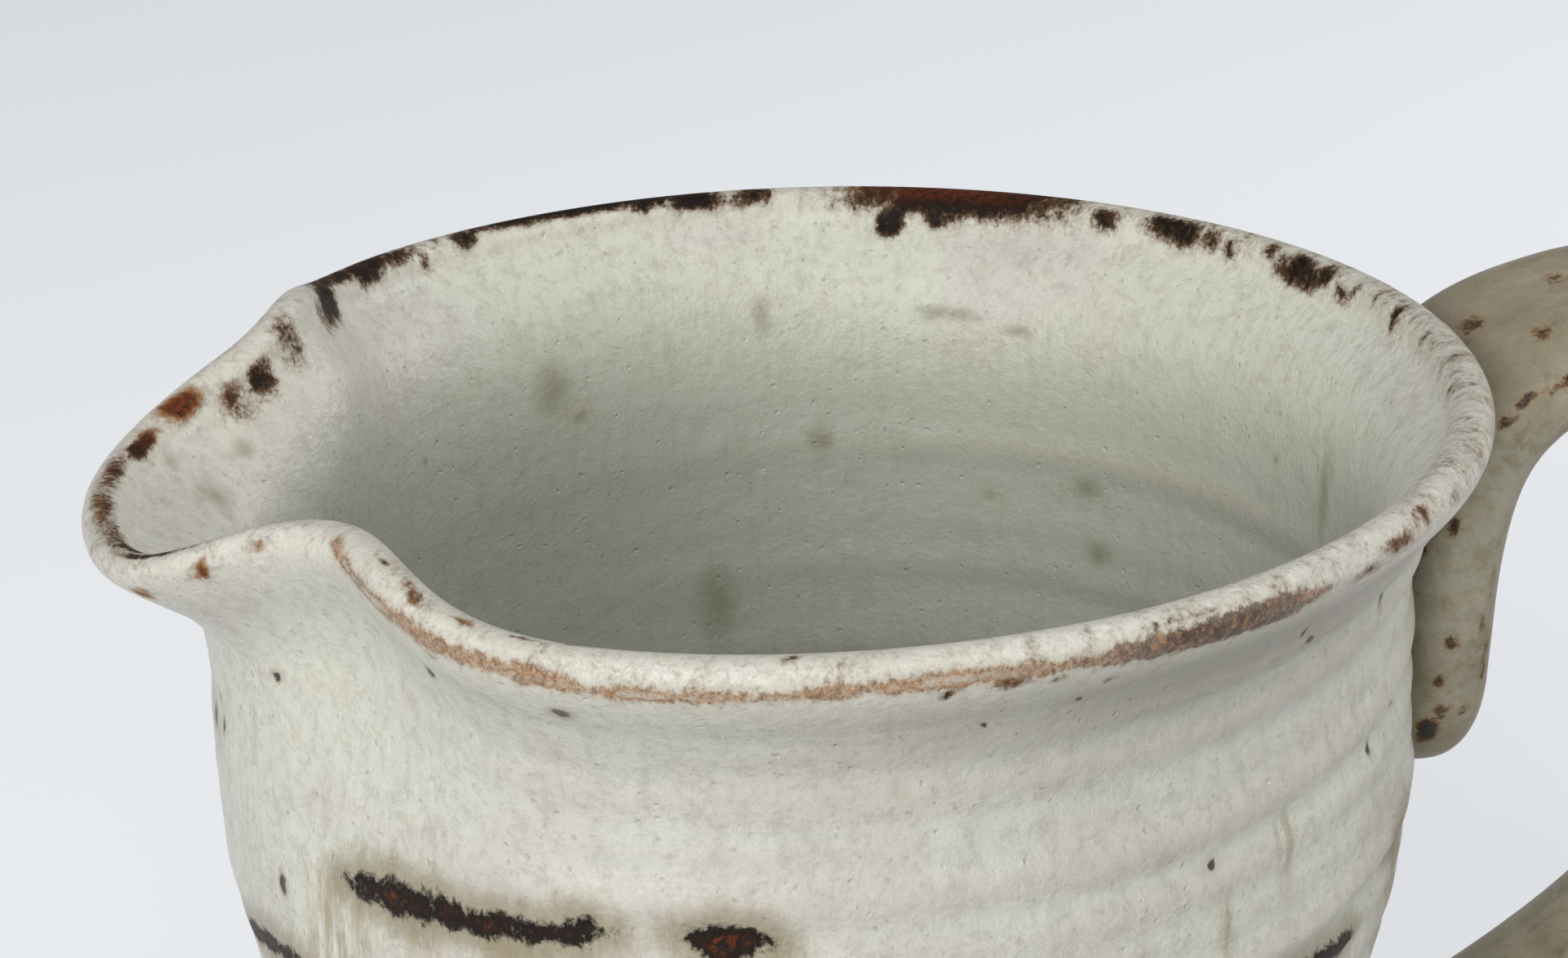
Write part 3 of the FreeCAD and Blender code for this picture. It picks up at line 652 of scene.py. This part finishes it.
class Surface:
    """One node material: short names for the nodes that the finishes are made from."""

    def __init__(self, name):
        self.material = bpy.data.materials.new(name)
        self.material.use_nodes = True
        self.tree = self.material.node_tree
        self.shader = self.tree.nodes["Principled BSDF"]
        self.base = None

    def give(self, name, value):
        self.put(self.shader.inputs[name], value)

    def put(self, socket, value):
        if isinstance(value, bpy.types.NodeSocket):
            self.tree.links.new(value, socket)
        else:
            socket.default_value = value

    def node(self, kind, *values, **settings):
        node = self.tree.nodes.new(kind)
        for key, value in settings.items():
            setattr(node, key, value)
        for socket, value in zip(node.inputs, values):
            if value is not None:
                self.put(socket, value)
        return node

    def math(self, operation, first, second=0.0, clamp=False):
        node = self.node("ShaderNodeMath", first, second, operation=operation, use_clamp=clamp)
        return node.outputs[0]

    def add(self, first, second):
        return self.math("ADD", first, second)

    def scaled(self, first, second):
        return self.math("MULTIPLY", first, second)

    def below(self, value, limit):
        return self.math("LESS_THAN", value, limit)

    def centred(self, *weighted):
        """Noises added up by weight and shifted so that their middle is 0."""
        total = -0.5 * sum(weight for _, weight in weighted)
        for noise, weight in weighted:
            total = self.add(total, self.scaled(noise, weight))
        return total

    def field(self, name):
        return self.node("ShaderNodeAttribute", attribute_name=name).outputs["Fac"]

    def step(self, value, start, end):
        node = self.node("ShaderNodeMapRange", value, start, end, 0.0, 1.0,
                         interpolation_type="SMOOTHSTEP")
        return node.outputs[0]

    def texture(self, kind, vector, **numbers):
        node = self.node(kind)
        self.put(node.inputs["Vector"], vector)
        for name, value in numbers.items():
            node.inputs[name].default_value = value
        return node.outputs

    def noise(self, vector, scale, detail=3.0, roughness=0.55):
        return self.texture("ShaderNodeTexNoise", vector, Scale=scale, Detail=detail,
                            Roughness=roughness)[0]

    def dots(self, vector, scale):
        """Distance from the nearest of scattered points, and a random number for each."""
        outputs = self.texture("ShaderNodeTexVoronoi", vector, Scale=scale)
        split = self.node("ShaderNodeSeparateColor", outputs["Color"])
        return outputs["Distance"], split.outputs[0]

    def vector(self, operation, first, second=None, scale=None):
        node = self.node("ShaderNodeVectorMath", first, second, operation=operation)
        if scale is not None:
            node.inputs["Scale"].default_value = scale
        return node.outputs["Value" if operation == "DISTANCE" else "Vector"]

    def mix(self, share, first, second):
        node = self.node("ShaderNodeMix", data_type="RGBA")
        self.put(node.inputs[0], share)
        self.put(node.inputs[6], first)
        self.put(node.inputs[7], second)
        return node.outputs[2]

    def lay(self, tone, share, strength=None):
        """Lays a tone over the base colour as far as a share says, at a strength."""
        if strength is not None:
            share = self.scaled(share, strength)
        self.base = self.mix(share, self.base, tone)

    def blend(self, share, first, second):
        node = self.node("ShaderNodeMix", data_type="FLOAT")
        self.put(node.inputs[0], share)
        self.put(node.inputs[2], first)
        self.put(node.inputs[3], second)
        return node.outputs[0]

    def position(self):
        """Place on the object in mm."""
        place = self.node("ShaderNodeTexCoord").outputs["Object"]
        return self.vector("SCALE", place, scale=1.0 / MM)

    def stretched(self, position, x, y, z):
        return self.vector("MULTIPLY", position, (x, y, z))

    def shaken(self, position, scale, reach):
        """Places moved about by a noise, so that round marks come out ragged."""
        noise = self.texture("ShaderNodeTexNoise", position, Scale=scale)["Color"]
        middle = self.vector("SUBTRACT", noise, (0.5, 0.5, 0.5))
        return self.vector("ADD", position, self.vector("SCALE", middle, scale=reach))

    def along_wall(self, position, path, share):
        """Places round the jug and along its wall, with the wall's length scaled down."""
        split = self.node("ShaderNodeSeparateXYZ", position).outputs
        flat = self.node("ShaderNodeCombineXYZ", split[0], split[1]).outputs[0]
        wide = self.vector("SCALE", self.vector("NORMALIZE", flat), scale=BODY_RADIUS)
        tall = self.node("ShaderNodeCombineXYZ", 0.0, 0.0, self.scaled(path, share))
        return self.vector("ADD", wide, tall.outputs[0])

    def near_point(self, position, centre, reach):
        """1 at a point of the surface, falling to 0 at a distance."""
        away = self.vector("DISTANCE", position, centre)
        return self.math("SUBTRACT", 1.0, self.math("DIVIDE", away, reach), True)

    def bump(self, height, distance, strength=1.0, under=None):
        node = self.node("ShaderNodeBump")
        node.inputs["Strength"].default_value = strength
        node.inputs["Distance"].default_value = distance
        self.put(node.inputs["Height"], height)
        if under is not None:
            self.put(node.inputs["Normal"], under)
        return node.outputs[0]


def colour(red, green, blue):
    """A colour written in screen values from 0 to 255."""
    def linear(value):
        value = value / 255.0
        return value / 12.92 if value <= 0.04045 else ((value + 0.055) / 1.055) ** 2.4
    return (linear(red), linear(green), linear(blue), 1.0)


COOL_WHITE = colour(214, 214, 200)
WARM_WHITE = colour(207, 201, 191)
# Inside glaze: partly its own greyer tone, partly painted shade, darker deep in the bowl.
INNER_GREY_AND_SHADE = colour(189, 190, 176)
DEEP_PAINTED_SHADE = colour(166, 166, 152)
RIDGE_GREY = colour(199, 191, 179)
POOLED = colour(208, 214, 200)
PINK_WHITE = colour(209, 201, 187)
GRAIN = colour(150, 144, 128)
# The handle's cream glaze, darkened overall as painted shade.
CREAM_AND_SHADE = colour(179, 172, 150)
CREAM_GREY_AND_SHADE = colour(152, 142, 120)
# Olive smoke of the handle's glaze; the same colour is laid as painted shade.
SMOKE_AND_SHADE = colour(112, 102, 76)
# Painted highlight along the crest, and painted white glints on it.
CREST_PAINTED_LIGHT = colour(230, 225, 211)
PAINTED_GLINT_WHITE = colour(244, 241, 230)
# Painted shade under the rim's overhang.
NECK_SHADE_GREY = colour(158, 154, 141)
OLIVE = colour(112, 108, 78)
KHAKI = colour(142, 131, 101)
STAIN = colour(142, 122, 98)
OCHRE = colour(132, 94, 56)
TOFFEE = colour(112, 80, 47)
DARK_IRON = colour(27, 17, 10)
BROWN_IRON = colour(98, 73, 50)
RUST = colour(118, 56, 24)
RED_BROWN = colour(62, 35, 19)
ORANGE = colour(170, 126, 82)
TAN = colour(158, 140, 108)
CLAY = colour(168, 138, 108)
CLAY_DARK = colour(126, 96, 72)
SLIP = colour(110, 88, 66)
SLIP_DARK = colour(70, 50, 36)

# Mm along the wall from the crest, - inside, where the inside starts and is whole, where its glaze
# turns greyer with painted shade and then darker with deeper painted shade down in the bowl, and
# where the crest's paler band, a painted highlight, ends outside and inside.
INSIDE = (-2.0, -9.0)
GREY_AND_SHADE_INSIDE = (-3.0, -30.0)
SHADE_DEEPENS = (-38.0, -66.0)
CREST_OUTSIDE = (8.5, 2.0)
CREST_INSIDE = (-5.0, -1.0)
# The noise that makes marks ragged: its scale per mm, and how far it moves them in mm.
SHAKE = (0.5, 1.3)
# Mm of path from the foot where bare clay ends, where the brown line over that ends, and how
# far the edge wanders.
BARE_EDGE = (-0.9, -1.2)
BROWN_EDGE = (0.6, -0.8)
EDGE_WANDER = -6.0
# Depths of the bumps, in metres.
BODY_UNDULATION = 0.0007
BODY_GRAIN = 0.00025
HANDLE_UNDULATION = 0.0006
HANDLE_GRAIN = 0.0002

# Single specks of iron on the outside, and olive marks on the inside: degrees round the jug,
# mm outside (+) or inside (-) of the rim's crest, size in mm, and how many times as tall as wide.
BODY_SPECKS = [
    (200.7, 17.6, 0.75, 0.7), (201.6, 36.9, 0.85, 1.8), (188.1, 26.8, 0.75, 1.8),
    (240.3, 7.4, 1.2, 0.9), (226.2, 10, 1, 1.1), (229.5, 4.9, 0.55, 0.8),
    (271.8, 10.4, 0.42, 1.2), (318.6, 28.8, 0.6, 2), (317.6, 13, 0.6, 3.2),
    (302.4, 10.4, 0.5, 1.4),
]
INNER_MARKS = [
    (82.8, -14.6, 0.6, 2.4), (108.9, -19.5, 1.3, 1.3), (63, -14.4, 1.1, 0.4),
    (59.4, -14.8, 1.3, 0.3), (52.2, -15.4, 1, 0.3), (1.8, -21.5, 0.7, 4), (90, -47, 1.3, 2),
    (165.6, -4.2, 0.55, 1.3), (160.2, -8.2, 0.55, 1.3), (166.5, -9.3, 0.9, 3.4),
    (76.5, -28.7, 0.8, 1), (43.2, -31.7, 1, 0.8), (41.4, -38.9, 0.9, 1),
]


def glaze_base(coat, position, cool, warm, strength):
    """Satin glaze: soft cloudy tone, fine mottle and tiny dark grains."""
    coat.base = cool
    coat.lay(warm, coat.step(coat.noise(position, 0.05, 3.0, 0.6), 0.40, 0.70))
    coat.lay(GRAIN, coat.step(coat.noise(position, 0.6, 6.0, 0.85), 0.44, 0.66), strength)
    grains, chance = coat.dots(position, 0.75)
    grain = coat.scaled(coat.step(grains, 0.24, 0.10), coat.below(chance, 0.22))
    coat.lay(GRAIN, grain, 0.5)


def specks(coat, position, scale, share, strength=0.9):
    """Scattered iron specks, each with a soft halo."""
    distance, chance = coat.dots(position, scale)
    chosen = coat.scaled(coat.below(chance, share), strength)
    size = coat.blend(coat.math("DIVIDE", chance, share), 0.05, 0.15)
    away = coat.math("DIVIDE", distance, coat.scaled(size, 2.8))
    coat.lay(TAN, coat.math("SUBTRACT", 1.0, away, True), coat.scaled(chosen, 0.5))
    coat.lay(DARK_IRON, coat.step(coat.math("SUBTRACT", size, distance), 0.0, 0.05), chosen)


def place_on_wall(body, degrees, from_crest):
    """The body's point, in mm, at an angle round it and a length along its wall from the crest."""
    values = np.zeros(len(body.data.vertices), dtype=np.float32)
    body.data.attributes["from_crest"].data.foreach_get("value", values)
    rows = values[:-2].reshape(-1, AROUND)[:, 0]
    row = int(np.argmin(np.abs(rows - from_crest)))
    column = round((degrees + 180.0) / 360.0 * AROUND) % AROUND
    return body.data.vertices[row * AROUND + column].co / MM


def placed_marks(coat, position, body, marks, grow, tone, strength, outer=0.35, core=0.65):
    """Single marks of a given size and length; each is an oval along the wall's height."""
    for degrees, from_crest, size, tall in marks:
        centre = place_on_wall(body, degrees, from_crest)
        centre.z /= tall
        squeezed = coat.stretched(position, 1.0, 1.0, 1.0 / tall)
        spot = coat.near_point(squeezed, centre, 2.0 * grow * size)
        coat.lay(tone, coat.step(spot, outer, core), strength)


def body_glaze(body):
    coat = Surface("satin_stoneware_glaze")
    step, scaled, field = coat.step, coat.scaled, coat.field
    place = coat.position()
    position = coat.shaken(place, *SHAKE)
    glaze_base(coat, position, COOL_WHITE, WARM_WHITE, 0.42)
    from_crest = field("from_crest")
    # Inside: partly a greyer glaze, partly painted shade that deepens towards the floor of the
    # bowl.
    coat.lay(INNER_GREY_AND_SHADE, step(from_crest, *GREY_AND_SHADE_INSIDE))
    coat.lay(DEEP_PAINTED_SHADE, step(from_crest, *SHADE_DEEPENS))
    # Painted shade under the rim's overhang, darkest on the near side.
    coat.lay(NECK_SHADE_GREY, field("painted_neck_shade"), 0.8)

    # Thin on the throwing ridges, thick between them, and streaked down the wall.
    coat.lay(RIDGE_GREY, step(field("ridge"), 0.02, 0.36), 0.45)
    coat.lay(POOLED, step(field("ridge"), -0.02, -0.34), 0.4)
    streaks = coat.noise(coat.along_wall(place, from_crest, 0.16), 0.8, 4.0, 0.65)
    coat.lay(GRAIN, step(streaks, 0.46, 0.72), 0.16)

    speck_strength = coat.blend(step(from_crest, *INSIDE), 0.9, 0.25)
    specks(coat, position, 0.07, 0.10, speck_strength)
    specks(coat, position, 0.22, 0.05, speck_strength)
    placed_marks(coat, position, body, BODY_SPECKS, 1.1, TAN, 0.5)
    placed_marks(coat, position, body, BODY_SPECKS, 0.62, DARK_IRON, 0.95)
    placed_marks(coat, position, body, INNER_MARKS, 1.4, OLIVE, 0.5, 0.0, 1.0)

    # The crest is paler, a painted highlight, with stained flecks and painted white glints.
    crest = scaled(step(from_crest, *CREST_OUTSIDE), step(from_crest, *CREST_INSIDE))
    flecks = coat.noise(position, 1.1, 6.0, 0.85)
    coat.lay(CREST_PAINTED_LIGHT, crest, 0.6)
    coat.lay(STAIN, step(flecks, 0.52, 0.68), scaled(crest, 0.4))
    # Painted white glints on the crest, where a highlight would fall.
    coat.lay(PAINTED_GLINT_WHITE, scaled(field("painted_crest_glints"), step(flecks, 0.56, 0.42)), 0.8)

    # What makes the edges of the iron ragged: blots, strands down the wall, and grain.
    ragged = coat.noise(coat.along_wall(place, from_crest, 0.6), 0.4, 6.0, 0.75)
    strands = coat.noise(coat.along_wall(place, from_crest, 0.22), 0.9, 4.0, 0.7)
    fine = coat.noise(position, 1.7, 4.0, 0.7)
    shift = coat.centred((ragged, 1.7), (strands, 0.25), (fine, 1.0))

    # The strokes: tan runs below, a khaki halo, rust in the dark middle.
    coat.lay(TAN, scaled(field("runs"), step(streaks, 0.34, 0.60)), 0.75)
    brush = coat.add(field("brush"), scaled(shift, 1.9))
    coat.lay(KHAKI, step(brush, -3.2, -0.4), 0.75)
    stroke = step(brush, -0.45, 0.3)
    tone = coat.mix(step(brush, 0.3, 1.3), DARK_IRON, RUST)
    coat.lay(coat.mix(step(fine, 0.36, 0.54), tone, DARK_IRON), stroke)

    # The ochre line, sandy where it isn't brown.
    line = coat.add(field("rim_line"), scaled(shift, 1.3))
    brown = scaled(field("line_brown"), step(flecks, 0.60, 0.48))
    tone = coat.mix(brown, coat.mix(step(fine, 0.44, 0.56), ORANGE, OCHRE), RED_BROWN)
    coat.lay(TAN, step(line, -0.9, 0.2), 0.35)
    sand = coat.blend(step(coat.noise(position, 2.6, 4.0, 0.8), 0.44, 0.56), 0.55, 1.0)
    coat.lay(tone, step(line, -0.2, 0.3), coat.math("MAXIMUM", sand, field("line_brown")))
    coat.lay(PINK_WHITE, scaled(field("line_hollow"), step(line, 0.45, 0.6)), 0.85)

    # The iron of the rim.
    blots = coat.noise(coat.stretched(position, 1.0, 0.4, 1.0), 0.6, 6.0, 0.75)
    blots = coat.centred((blots, 1.7), (fine, 1.0))
    iron = coat.add(field("rim_iron"), coat.blend(field("lip_zone"), shift, blots))
    coat.lay(STAIN, step(iron, 0.14, 0.60), 0.5)
    tone = coat.mix(step(iron, 0.60, 1.05), BROWN_IRON, DARK_IRON)
    warm = coat.mix(step(iron, 0.75, 1.05), ORANGE, RUST)
    rust = scaled(field("rim_rust"), step(fine, 0.34, 0.56))
    patch = step(iron, 0.42, 0.80)
    coat.lay(coat.mix(rust, tone, warm), patch)

    # Bare clay at the foot, below a wavy edge.
    edge = coat.add(field("from_foot"), scaled(coat.noise(place, 0.09), EDGE_WANDER))
    bare = step(edge, *BARE_EDGE)
    coat.lay(BROWN_IRON, step(edge, *BROWN_EDGE), 0.8)
    grog = coat.noise(place, 1.4, 5.0, 0.75)
    coat.lay(coat.mix(step(grog, 0.38, 0.66), CLAY, CLAY_DARK), bare)
    coat.give("Base Color", coat.base)

    # Iron is duller, or the pale room would turn it grey.
    dull = coat.math("MAXIMUM", patch, stroke)
    satin = coat.blend(coat.noise(place, 0.35, 3.0), 0.27, 0.43)
    satin = coat.blend(dull, coat.blend(crest, satin, 0.17), 0.5)
    coat.give("Roughness", coat.blend(bare, satin, 0.85))
    coat.give("Specular IOR Level", coat.blend(dull, 0.5, 0.15))

    undulation = coat.bump(coat.noise(place, 0.35, 3.0, 0.6), BODY_UNDULATION, 0.4)
    pits, chance = coat.dots(position, 0.7)
    pit = scaled(step(pits, 0.20, 0.06), coat.below(chance, 0.3))
    grain = coat.math("SUBTRACT", fine, scaled(pit, 1.2))
    grain = coat.add(grain, scaled(flecks, scaled(crest, 2.0)))
    coat.give("Normal", coat.bump(grain, BODY_GRAIN, 0.5, undulation))
    return coat.material


def handle_glaze():
    coat = Surface("satin_handle_glaze")
    step, scaled, field = coat.step, coat.scaled, coat.field
    place = coat.position()
    position = coat.shaken(place, *SHAKE)
    # Cream glaze, darkened overall as painted shade.
    glaze_base(coat, position, CREAM_AND_SHADE, CREAM_GREY_AND_SHADE, 0.6)
    specks(coat, position, 0.10, 0.16)
    specks(coat, position, 0.24, 0.08)
    coat.lay(KHAKI, step(coat.noise(position, 0.22, 6.0, 0.75), 0.46, 0.66), 0.6)
    # Olive mottle of the glaze itself.
    coat.lay(SMOKE_AND_SHADE, step(coat.noise(position, 0.13, 7.0, 0.8), 0.50, 0.68), 0.6)
    # Painted shade on the strap beside the rim and under the crown.
    coat.lay(SMOKE_AND_SHADE, field("strap_painted_shade"), 0.55)
    fine = coat.noise(position, 1.9, 4.0, 0.7)
    shift = coat.centred((coat.noise(position, 0.42, 6.0, 0.72), 1.5), (fine, 0.8))
    wear = coat.add(field("corner_wear"), scaled(shift, 0.9))
    coat.lay(STAIN, step(wear, 0.3, 0.8), 0.7)
    coat.lay(BROWN_IRON, step(wear, 0.6, 1.0), 0.85)
    iron = coat.add(field("strap_iron"), scaled(shift, 1.3))
    coat.lay(TAN, step(iron, 0.1, 0.6), 0.6)
    coat.lay(coat.mix(step(iron, 0.60, 1.1), TOFFEE, DARK_IRON), step(iron, 0.42, 0.78))
    coat.give("Base Color", coat.base)
    coat.give("Roughness", coat.blend(coat.noise(place, 0.35, 3.0), 0.32, 0.48))
    coat.give("Specular IOR Level", 0.35)
    undulation = coat.bump(coat.noise(place, 0.35, 2.0), HANDLE_UNDULATION, 0.3)
    coat.give("Normal", coat.bump(fine, HANDLE_GRAIN, 0.4, undulation))
    return coat.material


def slip_clay():
    coat = Surface("fired_slip")
    grain = coat.noise(coat.position(), 1.2, 5.0, 0.7)
    coat.give("Base Color", coat.mix(coat.step(grain, 0.4, 0.65), SLIP, SLIP_DARK))
    coat.give("Roughness", 0.7)
    return coat.material


# ---------------------------------------------------------------- object

body = thrown_body()
body.data.materials.append(body_glaze(body))
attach(body, "root")
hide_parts("thrown_body")

handle = pulled_handle()
handle.data.materials.append(handle_glaze())
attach(handle, "root")
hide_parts("pulled_handle")

slip = slip_clay()
for name in ("upper_slip_joint", "lower_slip_joint"):
    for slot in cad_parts[name].material_slots:
        slot.material = slip


# ---------------------------------------------------------------- room, light, camera

def direction(azimuth, elevation):
    """Towards a point that many degrees round from the front, and above the horizon."""
    a, e = math.radians(azimuth), math.radians(elevation)
    return Vector((math.sin(a) * math.cos(e), -math.cos(a) * math.cos(e), math.sin(e)))


def softbox(name, azimuth, elevation, distance, width, height, power):
    light = bpy.data.lights.new(name, "AREA")
    light.shape = "RECTANGLE"
    light.size, light.size_y = width, height
    light.energy = power
    lamp = linked(name, light)
    towards = direction(azimuth, elevation)
    lamp.location = RIM_CENTRE + towards * distance
    lamp.rotation_mode = "QUATERNION"
    lamp.rotation_quaternion = towards.to_track_quat("Z", "Y")


FLOOR_REACH = 3.0
FLOOR_COLOUR = colour(194, 195, 198)
FLOOR_ROUGHNESS = 0.9
# The floor shows paler than its lit colour by this much of this colour; it lights nothing.
FLOOR_LIFT = 0.42
FLOOR_GLOW = (0.94, 0.97, 1.0, 1.0)
# The room's colour, its strength as a light and as it is seen.
ROOM_COLOUR = (0.95, 0.97, 1.0, 1.0)
ROOM_LIGHT = 0.26
ROOM_SEEN = 0.85


def plain_floor(reach):
    mesh = bpy.data.meshes.new("floor")
    mesh.from_pydata([(-reach, -reach, 0.0), (reach, -reach, 0.0), (reach, reach, 0.0),
                      (-reach, reach, 0.0)], [], [(0, 1, 2, 3)])
    coat = Surface("pale_floor")
    coat.give("Base Color", FLOOR_COLOUR)
    coat.give("Roughness", FLOOR_ROUGHNESS)
    coat.give("Emission Color", FLOOR_GLOW)
    rays = coat.node("ShaderNodeLightPath").outputs
    seen = rays["Is Camera Ray"]
    for ray in ("Is Glossy Ray", "Is Transmission Ray"):
        seen = coat.math("MAXIMUM", seen, rays[ray])
    coat.give("Emission Strength", coat.scaled(seen, FLOOR_LIFT))
    mesh.materials.append(coat.material)
    linked("floor", mesh)


def plain_world():
    world = bpy.data.worlds.new("studio")
    world.use_nodes = True
    bpy.context.scene.world = world
    tree = world.node_tree
    background = tree.nodes["Background"]
    background.inputs["Color"].default_value = ROOM_COLOUR
    path = tree.nodes.new("ShaderNodeLightPath")
    strength = tree.nodes.new("ShaderNodeMix")
    strength.data_type = "FLOAT"
    strength.inputs[2].default_value = ROOM_LIGHT
    strength.inputs[3].default_value = ROOM_SEEN
    tree.links.new(path.outputs["Is Camera Ray"], strength.inputs[0])
    tree.links.new(strength.outputs[0], background.inputs["Strength"])


RIM_CENTRE = Vector((0.0, 0.0, RIM_HEIGHT)) * MM

plain_floor(FLOOR_REACH)
plain_world()
# Degrees round from the front, degrees up, metres away, width and height in metres, watts.
softbox("window_left", -43.0, 16.0, 1.7, 1.2, 0.6, 16.8)
softbox("window_front", -15.0, 42.0, 1.0, 0.6, 0.6, 2.9)
softbox("window_right", 100.0, 22.0, 1.0, 0.5, 0.5, 4.4)
softbox("window_top", -11.0, 82.0, 1.0, 0.2, 0.2, 0.9)

# The camera stands in front, a little to the lip's side, and looks down into the bowl at a
# point just below the middle of the rim.
VIEW_AZIMUTH = -10.9
VIEW_ELEVATION = 21.54
VIEW_ROLL = -2.34
VIEW_DISTANCE = 0.313
VIEW_LENS = 78.75
SENSOR_WIDTH = 36.0
CLIP_START = 0.01
AIM = Vector((-2.2, -2.2, RIM_HEIGHT - 8.7)) * MM

camera_data = bpy.data.cameras.new("camera")
camera_data.sensor_width = SENSOR_WIDTH
camera_data.lens = VIEW_LENS
camera_data.clip_start = CLIP_START
camera = linked("camera", camera_data)
back = direction(VIEW_AZIMUTH, VIEW_ELEVATION)
camera.location = AIM + back * VIEW_DISTANCE
camera.rotation_mode = "QUATERNION"
camera.rotation_quaternion = ((-back).to_track_quat("-Z", "Y")
                              @ Quaternion((0.0, 0.0, 1.0), math.radians(VIEW_ROLL)))
bpy.context.scene.camera = camera
bpy.context.scene.view_settings.view_transform = "Standard"
